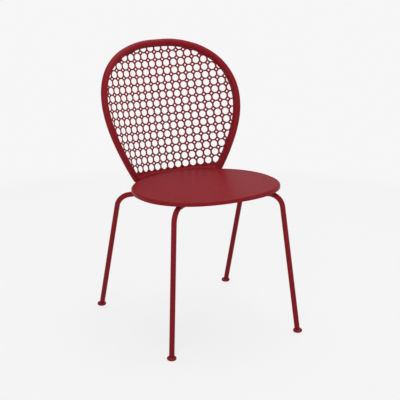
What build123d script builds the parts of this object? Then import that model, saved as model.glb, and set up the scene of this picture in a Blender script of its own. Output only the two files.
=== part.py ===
from build123d import *
import os
from math import atan2, cos, hypot, pi, radians, sin, sqrt, tan

# Metal stacking chair, millimetres. The sitter faces -Y, +Z is up, and left and
# right are as seen from the front. Places along Y are first given from the middle
# of the seat, then moved by seat_y so that the origin is under the whole chair.

# Seat pan, pressed from sheet
seat_height = 450.0
seat_half_width = 226.0
seat_front_reach = 190.5
seat_rear_reach = 210.5
front_fullness = 2.28
rear_fullness = 2.1
seat_tilt = 2.3
seat_sheet = 2.0
rim_depth = 12.5
rim_round = 6.0
outline_points = 24

# Leg tubes and under-seat rails
leg_tube = 16.0
leg_wall = 1.5
front_foot_x = 216.2
front_foot_y = -194.6
front_lean_in = 4.96
front_lean_back = 6.92
front_bend = 44.0
rail_sweep = 40.0
rail_half_gap = 75.0
rail_bend = 60.0
rail_overrun = 6.0
rear_foot_x = 231.3
rear_foot_y = 287.0
rear_lean_in = 1.33
rear_lean_forward = 18.51
rear_bar_height = 405.0
rear_bend = 33.0

# Foot glides and rail end plugs
glide_dia = 28.0
glide_height = 10.0
glide_round = 4.4
spigot_length = 24.0
spigot_clearance = 0.15
plug_head = 2.5
plug_round = 1.5
plug_spigot = 12.0

# Seat bearers, channels between the rails and the seat
bearer_width = 26.0
bearer_length = 196.0
bearer_wall = 2.0
front_bearer_y = -15.0
rear_bearer_y = 105.0

# Back: a tube hoop and a punched sheet, both rolled to one cone
back_recline = 14.35
cone_half_angle = 34.83
cone_apex_y = 145.4
cone_apex_z = 96.2
hoop_lower_run = 346.0
hoop_height = 415.6
hoop_half_width = 242.1
hoop_tube = 21.0
hoop_wall = 1.5
hoop_corner_bend = 16.0
hoop_corner_drop = 12.0
weld_gap = 0.1

# Hoop outline on the flat sheet, from the top down the right side and along the
# lower run: corners of its bends as shares of the half width and of the height.
hoop_outline = [
    (0.267, 1.000),
    (0.623, 0.924),
    (0.868, 0.797),
    (1.000, 0.618),
    (0.998, 0.428),
    (0.902, 0.252),
    (0.748, 0.082),
    (0.655, 0.000),
    (0.416, 0.000),
    (0.158, 0.000),
]
hoop_corner = 7
bend_share = 0.49

# Lattice of octagons and diamonds punched through the back sheet
panel_sheet = 2.0
panel_overlap = 5.5
lattice_pitch = 25.0
lattice_strap = 4.7
lattice_border = 2.7
smallest_hole = 16.0
octagon_sides = 8
diamond_sides = 4
edge_steps = 40


def unit(vector):
    return vector / vector.length


def sag(y):
    """Drop of the tilted seat plane at a distance y behind the seat's middle."""
    return y * tan(radians(seat_tilt))


def mirrored(point):
    return Vector(-point.X, point.Y, point.Z)


def rail_point(y):
    """Point of the right rail's centre line."""
    return Vector(rail_half_gap, y, rail_on_bar - sag(y - rear_top.Y))


def on_back(across, up):
    """Point of the back's middle surface for a point of its flat sheet.

    The sheet's own origin is on the centre line, at the hoop's lower run.
    """
    reach = hypot(across, hoop_lower_run + up)
    turn = atan2(across, hoop_lower_run + up) / sin(radians(cone_half_angle))
    axial = reach * cos(radians(cone_half_angle))
    radial = reach * sin(radians(cone_half_angle))
    return cone_apex + cone_axis * axial + cone_rear * (radial * cos(turn)) + Vector(radial * sin(turn), 0, 0)


def bend_radii(points):
    """Radii for the corners of the hoop's right half, as large as its runs allow.

    The first and the last run go on as far again in the left half.
    """
    runs = [after - before for before, after in zip(points, points[1:])]
    lengths = [run.length for run in runs]
    lengths[0] += lengths[0]
    lengths[-1] += lengths[-1]
    radii = []
    for index in range(len(runs) - 1):
        turn = runs[index].get_angle(runs[index + 1])
        radii.append(bend_share * min(lengths[index : index + 2]) / tan(radians(turn) / 2))
    radii[hoop_corner] = hoop_corner_bend
    return radii


def flat_loop(corners):
    """Points round the hoop's centre line on the flat sheet, from its right corners."""
    path = [Vector(0, hoop_height), *corners, Vector(0, 0)]
    with BuildLine() as right_half:
        FilletPolyline(*path, radius=bend_radii(path))
    right = [right_half.line @ (step / edge_steps) for step in range(1, edge_steps)]
    return [*right, *[mirrored(point) for point in reversed(right)]]


def inset(points, distance):
    """A closed flat outline moved inwards, for corners listed clockwise."""
    moved = []
    for index, here in enumerate(points):
        before = unit(here - points[index - 1])
        after = unit(points[(index + 1) % len(points)] - here)
        normals = Vector(before.Y + after.Y, -before.X - after.X)
        moved.append(here + normals * (distance / (1 + before.dot(after))))
    return [(point.X, point.Y) for point in moved]


def side(start, end, point):
    """Positive where a flat point is to the right of the line from start to end."""
    return (end[1] - start[1]) * (point[0] - start[0]) - (end[0] - start[0]) * (point[1] - start[1])


def clip(polygon, edge):
    """The part of a flat polygon inside a convex outline listed clockwise."""
    for index, end in enumerate(edge):
        start = edge[index - 1]
        kept = []
        for corner, here in enumerate(polygon):
            last = polygon[corner - 1]
            now, then = side(start, end, here), side(start, end, last)
            if now * then < 0:
                share = then / (then - now)
                kept.append((last[0] + (here[0] - last[0]) * share, last[1] + (here[1] - last[1]) * share))
            if now >= 0:
                kept.append(here)
        polygon = kept
    return polygon


def area(polygon):
    """Area of a flat polygon."""
    return abs(sum(side((0, 0), polygon[index - 1], here) for index, here in enumerate(polygon))) / 2


def ring(x, y, radius, sides, first):
    """Corners of a regular flat polygon, the first at an angle in degrees."""
    turns = [radians(first) + 2 * pi * index / sides for index in range(sides)]
    return [(x + radius * cos(turn), y + radius * sin(turn)) for turn in turns]


def rolled(polygon):
    """A flat outline rolled onto the back and seen square on, as a wire behind it."""
    corners = [panel_plane.to_local_coords(on_back(x, y)) for x, y in polygon]
    return Wire.make_polygon([panel_plane.from_local_coords(Vector(c.X, c.Y)) for c in corners])


def seat_curve(margin):
    """Points of the seat's outline, a superellipse with a deeper, rounder rear half."""
    points = []
    for index in range(outline_points):
        angle = 2 * pi * index / outline_points
        reach = seat_rear_reach if sin(angle) > 0 else seat_front_reach
        fullness = rear_fullness if sin(angle) > 0 else front_fullness
        across = abs(cos(angle)) ** (2 / fullness) * (seat_half_width - margin)
        along = abs(sin(angle)) ** (2 / fullness) * (reach - margin)
        points.append((across if cos(angle) > 0 else -across, along if sin(angle) > 0 else -along))
    return points


# The back's cone, from the middle of the seat
recline = radians(back_recline)
axis_lean = radians(back_recline - cone_half_angle)
cone_axis = Vector(0, sin(axis_lean), cos(axis_lean))
cone_rear = Vector(0, cos(axis_lean), -sin(axis_lean))
cone_normal = Vector(0, cos(recline), -sin(recline))
cone_apex = Vector(0, cone_apex_y, cone_apex_z)

# The chair's reach to the front and the rear fixes the origin's place
hoop_crown = on_back(hoop_outline[0][0] * hoop_half_width, hoop_height)
chair_front = front_foot_y - glide_dia / 2
chair_rear = hoop_crown.Y + hoop_tube / 2
seat_y = -(chair_front + chair_rear) / 2
cone_apex += Vector(0, seat_y, 0)

tilt = radians(seat_tilt)
seat_plane = Plane(origin=(0, seat_y, seat_height), x_dir=(1, 0, 0), z_dir=(0, sin(tilt), cos(tilt)))
seat_up = Axis(seat_plane.origin, seat_plane.z_dir)

# Corners of the leg tubes' centre lines, right side. The rails run level with the
# seat plane and rest on the rear bar.
rear_slope = Vector(-tan(radians(rear_lean_in)), -tan(radians(rear_lean_forward)), 1)
rear_foot = Vector(rear_foot_x, seat_y + rear_foot_y, 0)
rear_top = rear_foot + rear_slope * rear_bar_height
rail_on_bar = rear_bar_height + leg_tube + weld_gap
front_slope = Vector(-tan(radians(front_lean_in)), tan(radians(front_lean_back)), 1)
front_foot = Vector(front_foot_x, seat_y + front_foot_y, 0)
front_rise = (rail_on_bar + sag(rear_top.Y - front_foot.Y)) / (1 + sag(front_slope.Y))
front_top = front_foot + front_slope * front_rise
sweep_back = (front_top.X - rail_half_gap) * tan(radians(rail_sweep))
rail_turn = rail_point(front_top.Y + sweep_back)
rail_end = rail_point(on_back(rail_half_gap, 0).Y + rail_overrun)
seat_over_bar = seat_height - sag(rear_top.Y - seat_y)
bearer_height = (seat_over_bar - rail_on_bar) * cos(tilt) - leg_tube / 2 - seat_sheet - weld_gap

# Seat pan
with BuildPart() as seat_hollow:
    with BuildSketch(seat_plane.offset(-rim_depth)):
        with BuildLine():
            Spline(seat_curve(seat_sheet), periodic=True)
        make_face()
    extrude(amount=rim_depth - seat_sheet)
    fillet(seat_hollow.faces().sort_by(seat_up)[-1].edges(), rim_round - seat_sheet)

with BuildPart() as seat_pan:
    with BuildSketch(seat_plane.offset(-rim_depth)):
        with BuildLine():
            Spline(seat_curve(0), periodic=True)
        make_face()
    extrude(amount=rim_depth)
    fillet(seat_pan.faces().sort_by(seat_up)[-1].edges(), rim_round)
    add(seat_hollow.part, mode=Mode.SUBTRACT)

# Back hoop: the right half is swept from the crown to the lower run, then mirrored.
# Its lower corners run on along the sides, below the lower run.
field_corners = [Vector(x * hoop_half_width, y * hoop_height) for x, y in hoop_outline]
side_end = unit(field_corners[hoop_corner] - field_corners[hoop_corner - 1])
low_corner = field_corners[hoop_corner] + side_end * hoop_corner_drop
flat_corners = [*field_corners[:hoop_corner], low_corner, *field_corners[hoop_corner + 1 :]]
hoop_corners = [on_back(corner.X, corner.Y) for corner in flat_corners]
hoop_start = Vector(0, hoop_corners[0].Y, hoop_corners[0].Z)
hoop_end = Vector(0, hoop_corners[-1].Y, hoop_corners[-1].Z)
hoop_points = [hoop_start, *hoop_corners, hoop_end]
hoop_radii = bend_radii(hoop_points)

with BuildPart() as hoop_rod:
    with BuildLine():
        FilletPolyline(*hoop_points, radius=hoop_radii)
    with BuildSketch(Plane(origin=hoop_start, z_dir=(1, 0, 0))):
        Circle(hoop_tube / 2 + weld_gap)
    sweep()
    mirror(about=Plane.YZ)

with BuildPart() as back_hoop:
    with BuildLine():
        FilletPolyline(*hoop_points, radius=hoop_radii)
    with BuildSketch(Plane(origin=hoop_start, z_dir=(1, 0, 0))):
        Circle(hoop_tube / 2)
        Circle(hoop_tube / 2 - hoop_wall, mode=Mode.SUBTRACT)
    sweep()
    mirror(about=Plane.YZ)

# Back panel: the cone's wall inside the hoop, with the lattice punched through it.
# The lattice's field ends along a straight line above the lower run.
field = inset(flat_loop(field_corners[: hoop_corner + 1]), hoop_tube / 2 + lattice_border)
octagon_radius = (lattice_pitch - lattice_strap) / 2 / cos(pi / octagon_sides)
diamond_radius = (lattice_pitch / (1 + sqrt(2)) - lattice_strap) / sqrt(2)
columns = int(hoop_half_width / lattice_pitch) + 1
rows = int(hoop_height / lattice_pitch) + 1
holes = []
for column in range(-columns, columns + 1):
    for row in range(rows + 1):
        x, y = column * lattice_pitch, row * lattice_pitch
        octagon = ring(x, y, octagon_radius, octagon_sides, 180 / octagon_sides)
        diamond = ring(x + lattice_pitch / 2, y + lattice_pitch / 2, diamond_radius, diamond_sides, 0)
        holes += [clip(octagon, field), clip(diamond, field)]
holes = [hole for hole in holes if len(hole) > 2 and area(hole) > smallest_hole]

panel_plane = Plane(origin=on_back(0, hoop_height) + cone_normal * hoop_tube, x_dir=(1, 0, 0), z_dir=cone_normal)
hoop_loop = flat_loop(flat_corners[: hoop_corner + 2])
panel_outline = rolled(inset(hoop_loop, hoop_tube / 2 - panel_overlap))
panel_face = Face(panel_outline, [rolled(hole) for hole in holes])
panel_depth = hoop_half_width

# The wall is turned from a strip on the cone's front side, away from the panel, and
# the hoop is cut away from it. The panel's outline is inside the hoop.
wall_start = hoop_lower_run - hoop_tube
wall_end = hypot(hoop_half_width, hoop_lower_run + hoop_height)
half_angle = radians(cone_half_angle)
front_side = cone_axis * cos(half_angle) - cone_rear * sin(half_angle)
front_normal = cone_axis * sin(half_angle) + cone_rear * cos(half_angle)
strip = []
for along, offset_by in ((wall_start, -1), (wall_end, -1), (wall_end, 1), (wall_start, 1)):
    strip.append(cone_apex + front_side * along + front_normal * (offset_by * panel_sheet / 2))
with BuildPart() as back_panel:
    with BuildSketch(Plane.YZ):
        with BuildLine():
            Polyline(*[(corner.Y, corner.Z) for corner in strip], close=True)
        make_face()
    revolve(axis=Axis(cone_apex, cone_axis))
    add(hoop_rod.part, mode=Mode.SUBTRACT)
    extrude(panel_face, amount=-panel_depth, dir=cone_normal, clean=False, mode=Mode.INTERSECT)

# Front legs: up from the floor, round the front bend, inwards under the seat, then
# back as rails that rest on the rear bar and pass below the hoop's lower run
with BuildPart() as front_leg_right:
    with BuildLine():
        FilletPolyline(front_foot, front_top, rail_turn, rail_end, radius=[front_bend, rail_bend])
    with BuildSketch(Plane(origin=front_foot, z_dir=front_top - front_foot)):
        Circle(leg_tube / 2)
        Circle(leg_tube / 2 - leg_wall, mode=Mode.SUBTRACT)
    sweep()
    split(bisect_by=Plane.XY.offset(glide_height), keep=Keep.TOP)
    add(hoop_rod.part, mode=Mode.SUBTRACT)

with BuildPart() as front_leg_left:
    mirror(front_leg_right.part, about=Plane.YZ)

# Rear legs and the bar between them, one bent tube
with BuildPart() as rear_leg_hoop:
    with BuildLine():
        FilletPolyline(mirrored(rear_foot), mirrored(rear_top), rear_top, rear_foot, radius=rear_bend)
    with BuildSketch(Plane(origin=mirrored(rear_foot), z_dir=mirrored(rear_top - rear_foot))):
        Circle(leg_tube / 2)
        Circle(leg_tube / 2 - leg_wall, mode=Mode.SUBTRACT)
    sweep()
    split(bisect_by=Plane.XY.offset(glide_height), keep=Keep.TOP)

pieces = {
    "seat_pan": seat_pan,
    "back_hoop": back_hoop,
    "back_panel": back_panel,
    "front_leg_left": front_leg_left,
    "front_leg_right": front_leg_right,
    "rear_leg_hoop": rear_leg_hoop,
}

# Foot glides: a disc under each leg with a spigot up its bore
feet = {
    "foot_glide_front_left": (mirrored(front_foot), mirrored(front_top)),
    "foot_glide_front_right": (front_foot, front_top),
    "foot_glide_rear_left": (mirrored(rear_foot), mirrored(rear_top)),
    "foot_glide_rear_right": (rear_foot, rear_top),
}
for name, (foot, leg_top) in feet.items():
    with BuildPart() as glide:
        with BuildSketch(Plane(origin=foot)):
            Circle(glide_dia / 2)
        extrude(amount=glide_height)
        fillet(glide.edges().filter_by(GeomType.CIRCLE), glide_round)
        with BuildSketch(Plane(origin=foot, z_dir=leg_top - foot).offset(glide_height / 2)):
            Circle(leg_tube / 2 - leg_wall - spigot_clearance)
        extrude(amount=spigot_length)
    pieces[name] = glide

# Plugs in the rear ends of the rails
with BuildPart() as rail_plug_right:
    with BuildSketch(Plane(origin=rail_end, z_dir=rail_end - rail_turn)):
        Circle(leg_tube / 2)
    extrude(amount=plug_head)
    fillet(rail_plug_right.faces().sort_by(Axis.Y)[-1].edges(), plug_round)
    with BuildSketch(Plane(origin=rail_end, z_dir=rail_turn - rail_end)):
        Circle(leg_tube / 2 - leg_wall - spigot_clearance)
    extrude(amount=plug_spigot)
    add(hoop_rod.part, mode=Mode.SUBTRACT)

with BuildPart() as rail_plug_left:
    mirror(rail_plug_right.part, about=Plane.YZ)

pieces["rail_plug_left"] = rail_plug_left
pieces["rail_plug_right"] = rail_plug_right

# Seat bearers: channels laid across the rails, open side down
for name, along in (("seat_bearer_front", front_bearer_y), ("seat_bearer_rear", rear_bearer_y)):
    bearer_top = seat_plane.from_local_coords(Vector(0, along, -seat_sheet))
    with BuildPart() as bearer:
        with BuildSketch(Plane(origin=bearer_top, x_dir=seat_plane.y_dir, z_dir=(1, 0, 0))):
            Rectangle(bearer_width, bearer_height, align=(Align.CENTER, Align.MAX))
            with Locations((0, -bearer_wall)):
                Rectangle(
                    bearer_width - 2 * bearer_wall,
                    bearer_height,
                    align=(Align.CENTER, Align.MAX),
                    mode=Mode.SUBTRACT,
                )
        extrude(amount=bearer_length / 2, both=True)
    pieces[name] = bearer

os.makedirs("parts", exist_ok=True)
for name, piece in pieces.items():
    piece.part.label = name
    export_step(piece.part, f"parts/{name}.step")
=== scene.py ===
"""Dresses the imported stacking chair: coatings, weld beads, floor, lights and camera."""

import logging
import math
from dataclasses import dataclass
from enum import Enum
from typing import Any

import bpy
from mathutils import Matrix, Vector


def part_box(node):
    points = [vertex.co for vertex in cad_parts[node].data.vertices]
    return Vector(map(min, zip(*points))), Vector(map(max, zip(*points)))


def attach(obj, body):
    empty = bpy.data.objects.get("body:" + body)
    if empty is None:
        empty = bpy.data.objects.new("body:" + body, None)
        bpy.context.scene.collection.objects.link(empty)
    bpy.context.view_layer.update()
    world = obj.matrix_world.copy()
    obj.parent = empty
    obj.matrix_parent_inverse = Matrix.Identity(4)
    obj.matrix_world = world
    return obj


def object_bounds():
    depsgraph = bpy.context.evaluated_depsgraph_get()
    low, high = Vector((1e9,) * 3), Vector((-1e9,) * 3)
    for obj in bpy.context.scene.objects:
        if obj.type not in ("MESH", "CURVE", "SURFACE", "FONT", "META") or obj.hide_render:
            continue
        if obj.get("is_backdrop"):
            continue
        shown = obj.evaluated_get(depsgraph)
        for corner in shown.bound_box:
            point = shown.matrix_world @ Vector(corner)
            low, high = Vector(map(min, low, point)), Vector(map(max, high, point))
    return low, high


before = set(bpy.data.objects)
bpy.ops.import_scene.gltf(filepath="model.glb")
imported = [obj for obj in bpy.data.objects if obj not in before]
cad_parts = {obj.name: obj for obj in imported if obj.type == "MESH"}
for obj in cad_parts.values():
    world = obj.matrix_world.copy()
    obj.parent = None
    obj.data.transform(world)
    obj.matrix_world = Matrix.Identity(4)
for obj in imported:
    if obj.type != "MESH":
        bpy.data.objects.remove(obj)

log = logging.getLogger("chair")
MM = 0.001
BODY = "root"
# Sockets of the mix node in its colour mode.
MIX_FACTOR, MIX_FIRST, MIX_SECOND, MIX_RESULT = 0, 6, 7, 2


class Finish(Enum):
    """The chair's finishes, by their material slot names."""

    COATED_STEEL = "red_powder_coated_steel"
    NYLON = "red_nylon"


class Side(Enum):
    """The chair's two sides, by the sign of their places along X."""

    LEFT = -1
    RIGHT = 1


def linear(hex_colour: str) -> tuple[float, float, float, float]:
    """Turns an sRGB hex colour to linear RGBA.

    Args:
        hex_colour: six hex digits after a hash.

    Returns:
        Red, green, blue and a full alpha.
    """
    shares = [int(hex_colour[place : place + 2], 16) / 255 for place in (1, 3, 5)]
    red, green, blue = [
        s / 12.92 if s <= 0.04045 else ((s + 0.055) / 1.055) ** 2.4 for s in shares
    ]
    return red, green, blue, 1.0


def add_node(
    tree: bpy.types.NodeTree,
    kind: str,
    settings: dict[str, Any] | None = None,
    inputs: dict[str | int, Any] | None = None,
) -> bpy.types.Node:
    """Adds a node with its settings and links.

    Args:
        tree: the node tree that gets it.
        kind: the node's type name.
        settings: properties to set on it.
        inputs: values, or output sockets to link, by input name or number.

    Returns:
        The new node.
    """
    node = tree.nodes.new(kind)
    for name, value in (settings or {}).items():
        setattr(node, name, value)
    for name, value in (inputs or {}).items():
        if isinstance(value, bpy.types.NodeSocket):
            tree.links.new(value, node.inputs[name])
        else:
            node.inputs[name].default_value = value
    return node


def new_material(name: str) -> tuple[bpy.types.Material, bpy.types.NodeTree]:
    """Makes an empty node material.

    Args:
        name: the material's name.

    Returns:
        The material and its emptied node tree.
    """
    material = bpy.data.materials.new(name)
    material.use_nodes = True
    material.node_tree.nodes.clear()
    return material, material.node_tree


def per_metre(size_mm: float) -> float:
    """Gives a noise scale whose features have a size in millimetres."""
    return 1 / (size_mm * MM)


@dataclass(frozen=True)
class CoatedSteel:
    """Steel with a baked polyester powder coat.

    The powder melts to an even satin film, so the eye gets a deep red with a broad
    soft gloss, faint clouds in colour and sheen, and a fine orange peel.
    """

    name: str = "powder_coated_steel"
    colour: str = "#8B1E26"
    deep_colour: str = "#831A22"
    satin: float = 0.36
    dull: float = 0.44
    specular_level: float = 0.07
    cloud_mm: float = 70.0
    cloud_detail: float = 3.0
    sheen_mm: float = 18.0
    sheen_detail: float = 2.0
    # Real orange peel is about 1 mm across, drawn coarser so that it shows.
    peel_mm: float = 3.0
    peel_detail: float = 1.0
    peel_height_mm: float = 0.012

    def material(self) -> bpy.types.Material:
        """Builds the coat's material."""
        material, tree = new_material(self.name)
        place = add_node(tree, "ShaderNodeTexCoord").outputs["Object"]
        clouds = add_node(
            tree,
            "ShaderNodeTexNoise",
            inputs={
                "Vector": place,
                "Scale": per_metre(self.cloud_mm),
                "Detail": self.cloud_detail,
            },
        )
        colour = add_node(
            tree,
            "ShaderNodeMix",
            {"data_type": "RGBA"},
            {
                MIX_FACTOR: clouds.outputs["Fac"],
                MIX_FIRST: linear(self.deep_colour),
                MIX_SECOND: linear(self.colour),
            },
        )
        sheen = add_node(
            tree,
            "ShaderNodeTexNoise",
            inputs={
                "Vector": place,
                "Scale": per_metre(self.sheen_mm),
                "Detail": self.sheen_detail,
            },
        )
        roughness = add_node(
            tree,
            "ShaderNodeMapRange",
            inputs={
                "Value": sheen.outputs["Fac"],
                "To Min": self.satin,
                "To Max": self.dull,
            },
        )
        peel = add_node(
            tree,
            "ShaderNodeTexNoise",
            inputs={
                "Vector": place,
                "Scale": per_metre(self.peel_mm),
                "Detail": self.peel_detail,
            },
        )
        bump = add_node(
            tree,
            "ShaderNodeBump",
            inputs={
                "Height": peel.outputs["Fac"],
                "Distance": self.peel_height_mm * MM,
                "Strength": 1.0,
            },
        )
        shader = add_node(
            tree,
            "ShaderNodeBsdfPrincipled",
            inputs={
                "Base Color": colour.outputs[MIX_RESULT],
                "Roughness": roughness.outputs["Result"],
                "Specular IOR Level": self.specular_level,
                "Normal": bump.outputs["Normal"],
            },
        )
        add_node(tree, "ShaderNodeOutputMaterial", inputs={"Surface": shader.outputs["BSDF"]})
        return material


@dataclass(frozen=True)
class MouldedNylon:
    """Nylon injected into a spark-eroded mould, coloured in the mass.

    The mould leaves a fine even grain, so the eye gets a duller red than the coat
    beside it, with faint chalky bloom in patches.
    """

    name: str = "moulded_nylon"
    colour: str = "#8A2029"
    bloom_colour: str = "#8E2C34"
    roughness: float = 0.55
    specular_level: float = 0.2
    bloom_mm: float = 5.0
    bloom_detail: float = 4.0
    bloom_from: float = 0.45
    bloom_full: float = 0.8
    # Real mould grain is about 0.1 mm across, drawn coarser so that it shows.
    grain_mm: float = 0.9
    grain_detail: float = 2.0
    grain_height_mm: float = 0.03

    def material(self) -> bpy.types.Material:
        """Builds the nylon's material."""
        material, tree = new_material(self.name)
        place = add_node(tree, "ShaderNodeTexCoord").outputs["Object"]
        bloom = add_node(
            tree,
            "ShaderNodeTexNoise",
            inputs={
                "Vector": place,
                "Scale": per_metre(self.bloom_mm),
                "Detail": self.bloom_detail,
            },
        )
        share = add_node(
            tree,
            "ShaderNodeMapRange",
            inputs={
                "Value": bloom.outputs["Fac"],
                "From Min": self.bloom_from,
                "From Max": self.bloom_full,
            },
        )
        colour = add_node(
            tree,
            "ShaderNodeMix",
            {"data_type": "RGBA"},
            {
                MIX_FACTOR: share.outputs["Result"],
                MIX_FIRST: linear(self.colour),
                MIX_SECOND: linear(self.bloom_colour),
            },
        )
        grain = add_node(
            tree,
            "ShaderNodeTexNoise",
            inputs={
                "Vector": place,
                "Scale": per_metre(self.grain_mm),
                "Detail": self.grain_detail,
            },
        )
        bump = add_node(
            tree,
            "ShaderNodeBump",
            inputs={
                "Height": grain.outputs["Fac"],
                "Distance": self.grain_height_mm * MM,
                "Strength": 1.0,
            },
        )
        shader = add_node(
            tree,
            "ShaderNodeBsdfPrincipled",
            inputs={
                "Base Color": colour.outputs[MIX_RESULT],
                "Roughness": self.roughness,
                "Specular IOR Level": self.specular_level,
                "Normal": bump.outputs["Normal"],
            },
        )
        add_node(tree, "ShaderNodeOutputMaterial", inputs={"Surface": shader.outputs["BSDF"]})
        return material


Materials = dict[Finish, bpy.types.Material]


@dataclass
class WeldBead:
    """One short weld bead, modelled once along X and copied to each joint."""

    length_mm: float = 11.0
    width_mm: float = 4.4
    height_mm: float = 3.2
    sides: int = 14
    ripples: int = 5
    rings_per_ripple: int = 4
    ripple_share: float = 0.1
    end_power: float = 3.0

    def model(self) -> bpy.types.Object:
        """Models the bead by extruding a disc ring by ring.

        Returns:
            The bead, at the origin, to be copied and then removed.
        """
        rings = self.rings_per_ripple * self.ripples
        step = self.length_mm * MM / rings
        # The end rings take the swell of half a ring further in, not zero.
        last = self._swell(0.5 / rings, rings)
        bpy.ops.object.select_all(action="DESELECT")
        bpy.ops.mesh.primitive_circle_add(
            vertices=self.sides,
            radius=self.width_mm * MM / 2 * last,
            fill_type="NGON",
            location=(-self.length_mm * MM / 2, 0, 0),
            rotation=(0, math.pi / 2, 0),
        )
        bead = bpy.context.object
        bpy.ops.object.transform_apply(location=True, rotation=True, scale=True)
        bpy.ops.object.mode_set(mode="EDIT")
        bpy.ops.mesh.select_all(action="SELECT")
        for ring in range(1, rings + 1):
            here = -self.length_mm * MM / 2 + ring * step
            swell = self._swell(min(ring, rings - 0.5) / rings, rings)
            bpy.ops.mesh.extrude_region_move(TRANSFORM_OT_translate={"value": (step, 0, 0)})
            bpy.ops.transform.resize(
                value=(1, swell / last, swell / last), center_override=(here, 0, 0)
            )
            last = swell
        bpy.ops.mesh.select_all(action="SELECT")
        bpy.ops.transform.resize(
            value=(1, 1, self.height_mm / self.width_mm), center_override=(0, 0, 0)
        )
        bpy.ops.mesh.normals_make_consistent(inside=False)
        bpy.ops.object.mode_set(mode="OBJECT")
        bpy.ops.object.shade_smooth()
        return bead

    def _swell(self, share: float, rings: int) -> float:
        """Gives the bead's half width at a share of its length, as a share of the largest."""
        round_end = (1 - abs(2 * share - 1) ** self.end_power) ** 0.5
        ripple = 1 - self.ripple_share * (0.5 - 0.5 * math.cos(2 * math.pi * share * self.ripples))
        return max(round_end * ripple, 1 / rings)


@dataclass
class BeadPlace:
    """Where one bead lies: its middle, the way that it runs and its outer side."""

    name: str
    middle: Vector
    along: Vector
    outward: Vector
    stretch: float = 1.0

    def turn(self) -> Matrix:
        """Gives the matrix that lays a bead modelled along X in its place."""
        ahead = self.along.normalized()
        across = self.outward.cross(ahead).normalized()
        out = ahead.cross(across)
        turned = Matrix((ahead * self.stretch, across, out)).transposed().to_4x4()
        return Matrix.Translation(self.middle) @ turned


class SubAssembly:
    """What the chair's sub-assemblies share: coating CAD nodes and laying beads."""

    def coat(self, nodes: tuple[str, ...], finish: Finish, materials: Materials) -> None:
        """Gives CAD nodes a finish.

        Args:
            nodes: the nodes' names.
            finish: the finish that they get.
            materials: the material of each finish.
        """
        for name in nodes:
            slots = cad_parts[name].data.materials
            slots.clear()
            slots.append(materials[finish])
            log.info("%s has %s", name, materials[finish].name)

    def lay_beads(
        self, bead: bpy.types.Object, places: list[BeadPlace], materials: Materials
    ) -> None:
        """Copies a bead to its places and lets the copies ride on the chair.

        Args:
            bead: the modelled bead.
            places: where the copies lie.
            materials: the material of each finish.
        """
        for place in places:
            bpy.ops.object.select_all(action="DESELECT")
            bead.select_set(True)
            bpy.context.view_layer.objects.active = bead
            bpy.ops.object.duplicate(linked=False)
            copy = bpy.context.object
            copy.name = place.name
            copy.matrix_world = place.turn()
            bpy.ops.object.transform_apply(location=True, rotation=True, scale=True)
            copy.data.materials.clear()
            copy.data.materials.append(materials[Finish.COATED_STEEL])
            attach(copy, BODY)
            log.info("%s laid", place.name)


def middle_of(node: str) -> Vector:
    """Gives the middle of a CAD node's box."""
    low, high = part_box(node)
    return (low + high) / 2


def middle_near(node: str, x: float, reach: float, top: float) -> Vector:
    """Gives the middle of what a CAD node has near a place along X, below a height.

    Args:
        node: the CAD node.
        x: the place along X.
        reach: how far to each side of it to look.
        top: the height to stay below.

    Returns:
        The middle of the box around the vertices found, at that place along X.
    """
    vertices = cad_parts[node].data.vertices
    found = [v.co for v in vertices if abs(v.co.x - x) < reach and v.co.z < top]
    sides = []
    for axis in (1, 2):
        along = [co[axis] for co in found]
        sides.append((min(along) + max(along)) / 2)
    return Vector((x, *sides))


@dataclass
class LegFrame(SubAssembly):
    """The leg tubes, the rails that they run into, and the feet and plugs."""

    tubes: tuple[str, ...] = ("front_leg_left", "front_leg_right", "rear_leg_hoop")
    mouldings: tuple[str, ...] = (
        "foot_glide_front_left",
        "foot_glide_front_right",
        "foot_glide_rear_left",
        "foot_glide_rear_right",
        "rail_plug_left",
        "rail_plug_right",
    )
    tube_mm: float = 16.0
    bead_off_mm: float = 5.6
    bead_rise_mm: float = 0.4
    bead_lift: float = 0.4

    def bar_middle(self) -> Vector:
        """Gives the middle of the bar between the rear legs."""
        low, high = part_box("rear_leg_hoop")
        radius = self.tube_mm * MM / 2
        return Vector((0, low.y + radius, high.z - radius))

    def rail_x(self, side: Side) -> float:
        """Gives a rail's place along X."""
        return middle_of(f"rail_plug_{side.name.lower()}").x

    def build(self, bead: bpy.types.Object, materials: Materials) -> None:
        """Coats the tubes and mouldings and welds the rails to the rear bar.

        Args:
            bead: the modelled bead.
            materials: the material of each finish.
        """
        self.coat(self.tubes, Finish.COATED_STEEL, materials)
        self.coat(self.mouldings, Finish.NYLON, materials)
        bar = self.bar_middle()
        height = bar.z + (self.tube_mm / 2 + self.bead_rise_mm) * MM
        places = []
        for side in Side:
            for end, sign in (("inner", -side.value), ("outer", side.value)):
                middle = Vector((self.rail_x(side) + sign * self.bead_off_mm * MM, bar.y, height))
                name = f"weld_rail_bar_{side.name.lower()}_{end}"
                outward = Vector((sign, 0, self.bead_lift))
                places.append(BeadPlace(name, middle, Vector((0, 1, 0)), outward))
        self.lay_beads(bead, places, materials)


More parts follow.
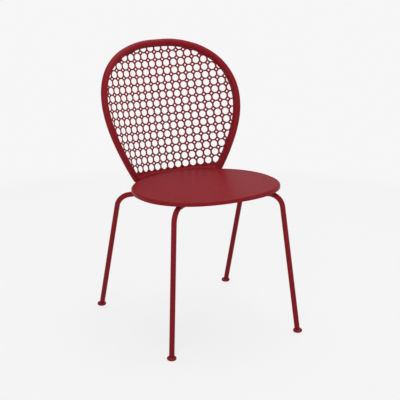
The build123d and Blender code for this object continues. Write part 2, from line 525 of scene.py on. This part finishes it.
@dataclass
class Seat(SubAssembly):
    """The seat pan and the two bearers between it and the rails."""

    sheets: tuple[str, ...] = ("seat_pan", "seat_bearer_front", "seat_bearer_rear")
    bearer_edge_mm: float = 0.6
    bead_lift: float = 0.6

    def build(self, legs: LegFrame, bead: bpy.types.Object, materials: Materials) -> None:
        """Coats the seat and its bearers and welds the bearers to the rails.

        Args:
            legs: the leg frame that carries them.
            bead: the modelled bead.
            materials: the material of each finish.
        """
        self.coat(self.sheets, Finish.COATED_STEEL, materials)
        places = []
        for row in ("front", "rear"):
            low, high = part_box(f"seat_bearer_{row}")
            for side in Side:
                for edge, y, sign in (("fore", low.y, -1), ("aft", high.y, 1)):
                    beside = y + sign * self.bearer_edge_mm * MM
                    middle = Vector((legs.rail_x(side), beside, low.z))
                    name = f"weld_bearer_{row}_{side.name.lower()}_{edge}"
                    outward = Vector((0, sign, self.bead_lift))
                    places.append(BeadPlace(name, middle, Vector((1, 0, 0)), outward))
        self.lay_beads(bead, places, materials)


@dataclass
class Back(SubAssembly):
    """The back's hoop and its punched sheet. Angles are in degrees."""

    members: tuple[str, ...] = ("back_hoop", "back_panel")
    hoop_mm: float = 21.0
    sheet_mm: float = 2.0
    saddle_turn: float = 62.0
    bead_lift: float = 0.6
    lower_run_mm: float = 34.0
    look_mm: float = 14.0
    tacks: int = 14
    tack_stretch: float = 1.4
    look_angle: float = 4.0

    def hoop_welds(self, legs: LegFrame) -> list[BeadPlace]:
        """Gives the beads between the hoop's lower run and the rails below it.

        Args:
            legs: the leg frame that carries the hoop.

        Returns:
            The places of the beads.
        """
        places = []
        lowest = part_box("back_hoop")[0].z
        turn = math.radians(self.saddle_turn)
        for side in Side:
            x = legs.rail_x(side)
            run = middle_near("back_hoop", x, self.look_mm * MM, lowest + self.lower_run_mm * MM)
            for edge, sign in (("fore", -1), ("aft", 1)):
                off = Vector((0, sign * math.sin(turn), -math.cos(turn)))
                name = f"weld_hoop_{side.name.lower()}_{edge}"
                middle = run + off * (self.hoop_mm * MM / 2)
                outward = off + Vector((0, 0, self.bead_lift))
                places.append(BeadPlace(name, middle, Vector((1, 0, 0)), outward))
        return places

    def sheet_edge(self, angle: float) -> Vector:
        """Gives the sheet's outermost point in a direction from its middle.

        Args:
            angle: the direction seen from the front, in radians from +X.

        Returns:
            That point of the sheet.
        """
        middle = middle_of("back_panel")
        best, furthest = middle, 0.0
        widest = math.radians(self.look_angle)
        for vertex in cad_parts["back_panel"].data.vertices:
            away = vertex.co - middle
            off = math.atan2(away.z, away.x) - angle
            if abs(math.atan2(math.sin(off), math.cos(off))) > widest:
                continue
            reach = math.hypot(away.x, away.z)
            if reach > furthest:
                best, furthest = vertex.co.copy(), reach
        return best

    def sheet_tacks(self) -> list[BeadPlace]:
        """Gives the tack welds between the sheet's rear face and the hoop."""
        places = []
        middle = middle_of("back_panel")
        spread = math.radians(2 * self.look_angle)
        for tack in range(self.tacks):
            angle = 2 * math.pi * (tack + 0.5) / self.tacks
            edge = self.sheet_edge(angle)
            along = self.sheet_edge(angle + spread) - self.sheet_edge(angle - spread)
            outward = (edge - middle).normalized()
            rear = along.cross(outward).normalized()
            rear = rear if rear.y > 0 else -rear
            name = f"weld_sheet_tack_{tack + 1:02d}"
            on_rear = edge + rear * (self.sheet_mm * MM)
            places.append(BeadPlace(name, on_rear, along, rear, self.tack_stretch))
        return places

    def build(self, legs: LegFrame, bead: bpy.types.Object, materials: Materials) -> None:
        """Coats the back and welds it to the rails and to its sheet.

        Args:
            legs: the leg frame that carries the back.
            bead: the modelled bead.
            materials: the material of each finish.
        """
        self.coat(self.members, Finish.COATED_STEEL, materials)
        self.lay_beads(bead, self.hoop_welds(legs), materials)
        self.lay_beads(bead, self.sheet_tacks(), materials)


@dataclass
class Lamp:
    """A square soft box, aimed at the chair, in metres and watts."""

    name: str
    location: tuple[float, float, float]
    size: float
    watts: float

    def build(self, target: Vector) -> None:
        """Adds the lamp.

        Args:
            target: the point that it faces.
        """
        data = bpy.data.lights.new(self.name, "AREA")
        data.size = self.size
        data.energy = self.watts
        lamp = bpy.data.objects.new(self.name, data)
        bpy.context.scene.collection.objects.link(lamp)
        lamp.location = self.location
        lamp.rotation_euler = (target - lamp.location).to_track_quat("-Z", "Y").to_euler()


@dataclass
class Studio:
    """A pale floor, a pale surround, soft boxes and the camera, in metres and degrees."""

    backdrop: str = "#F6F6F6"
    floor_colour: str = "#F4F4F4"
    surround_light: float = 0.3
    pale_top: float = 18.0
    floor_radius: float = 60.0
    floor_sides: int = 96
    floor_clear: float = 0.7
    floor_fade: float = 1.9
    floor_glow: float = 0.88
    lens_mm: float = 98.97
    sensor_mm: float = 36.0
    camera_place: tuple[float, float, float] = (-1.5074, -2.87785, 1.3756)
    camera_tip: float = 73.024
    camera_turn: float = -27.871
    lamps: tuple[Lamp, ...] = (
        Lamp("key_soft_box", (-2.2, -2.6, 2.8), 0.8, 39.0),
        Lamp("top_soft_box", (0.7, 0.3, 3.2), 2.8, 70.0),
    )

    def floor(self) -> None:
        """Lays a disc of pale floor that keeps a faint shadow and fades to the backdrop."""
        material, tree = new_material("pale_matt_floor")
        place = add_node(tree, "ShaderNodeTexCoord").outputs["Object"]
        away = add_node(tree, "ShaderNodeVectorMath", {"operation": "LENGTH"}, {0: place})
        fade = add_node(
            tree,
            "ShaderNodeMapRange",
            {"interpolation_type": "SMOOTHSTEP"},
            {
                "Value": away.outputs["Value"],
                "From Min": self.floor_clear,
                "From Max": self.floor_fade,
            },
        )
        path = add_node(tree, "ShaderNodeLightPath")
        seen = path.outputs["Is Camera Ray"]
        for ray in ("Is Glossy Ray", "Is Transmission Ray"):
            either = add_node(
                tree,
                "ShaderNodeMath",
                {"operation": "MAXIMUM"},
                {0: seen, 1: path.outputs[ray]},
            )
            seen = either.outputs["Value"]
        glow = add_node(
            tree,
            "ShaderNodeMath",
            {"operation": "MULTIPLY"},
            {0: seen, 1: self.floor_glow},
        )
        pale = add_node(
            tree,
            "ShaderNodeMath",
            {"operation": "MAXIMUM"},
            {0: fade.outputs["Result"], 1: glow.outputs["Value"]},
        )
        near = add_node(
            tree,
            "ShaderNodeBsdfDiffuse",
            inputs={"Color": linear(self.floor_colour)},
        )
        far = add_node(
            tree,
            "ShaderNodeEmission",
            inputs={"Color": linear(self.backdrop), "Strength": 1.0},
        )
        mix = add_node(
            tree,
            "ShaderNodeMixShader",
            inputs={
                0: pale.outputs["Value"],
                1: near.outputs["BSDF"],
                2: far.outputs["Emission"],
            },
        )
        add_node(tree, "ShaderNodeOutputMaterial", inputs={"Surface": mix.outputs["Shader"]})
        bpy.ops.object.select_all(action="DESELECT")
        bpy.ops.mesh.primitive_circle_add(
            vertices=self.floor_sides, radius=self.floor_radius, fill_type="NGON"
        )
        disc = bpy.context.object
        disc.name = "floor"
        disc.data.materials.append(material)
        disc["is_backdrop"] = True

    def surround(self) -> None:
        """Sets a surround that is pale near the floor and grey higher up."""
        world = bpy.data.worlds.new("studio")
        bpy.context.scene.world = world
        world.use_nodes = True
        tree = world.node_tree
        tree.nodes.clear()
        way = add_node(tree, "ShaderNodeTexCoord").outputs["Generated"]
        rise = add_node(tree, "ShaderNodeSeparateXYZ", inputs={"Vector": way}).outputs["Z"]
        strength = add_node(
            tree,
            "ShaderNodeMapRange",
            {"interpolation_type": "SMOOTHSTEP"},
            {
                "Value": rise,
                "From Max": math.sin(math.radians(self.pale_top)),
                "To Min": 1.0,
                "To Max": self.surround_light,
            },
        )
        light = add_node(
            tree,
            "ShaderNodeBackground",
            inputs={"Color": linear(self.backdrop), "Strength": strength.outputs["Result"]},
        )
        add_node(tree, "ShaderNodeOutputWorld", inputs={"Surface": light.outputs["Background"]})

    def camera(self) -> None:
        """Places the camera at the photograph's view."""
        data = bpy.data.cameras.new("camera")
        data.lens = self.lens_mm
        data.sensor_width = self.sensor_mm
        camera = bpy.data.objects.new("camera", data)
        bpy.context.scene.collection.objects.link(camera)
        camera.location = self.camera_place
        camera.rotation_euler = (math.radians(self.camera_tip), 0, math.radians(self.camera_turn))
        bpy.context.scene.camera = camera

    def build(self) -> None:
        """Sets up the floor, the surround, the lamps and the camera."""
        self.floor()
        self.surround()
        low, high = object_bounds()
        for lamp in self.lamps:
            lamp.build((low + high) / 2)
        self.camera()
        bpy.context.scene.view_settings.view_transform = "Standard"
        log.info("studio set up")


def main() -> None:
    """Builds the chair's classes in order."""
    logging.basicConfig(level=logging.INFO, format="%(name)s: %(message)s")
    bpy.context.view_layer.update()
    materials = {
        Finish.COATED_STEEL: CoatedSteel().material(),
        Finish.NYLON: MouldedNylon().material(),
    }
    bead = WeldBead().model()
    legs = LegFrame()
    legs.build(bead, materials)
    Seat().build(legs, bead, materials)
    Back().build(legs, bead, materials)
    bpy.data.objects.remove(bead)
    Studio().build()


if __name__ == "__main__":
    main()
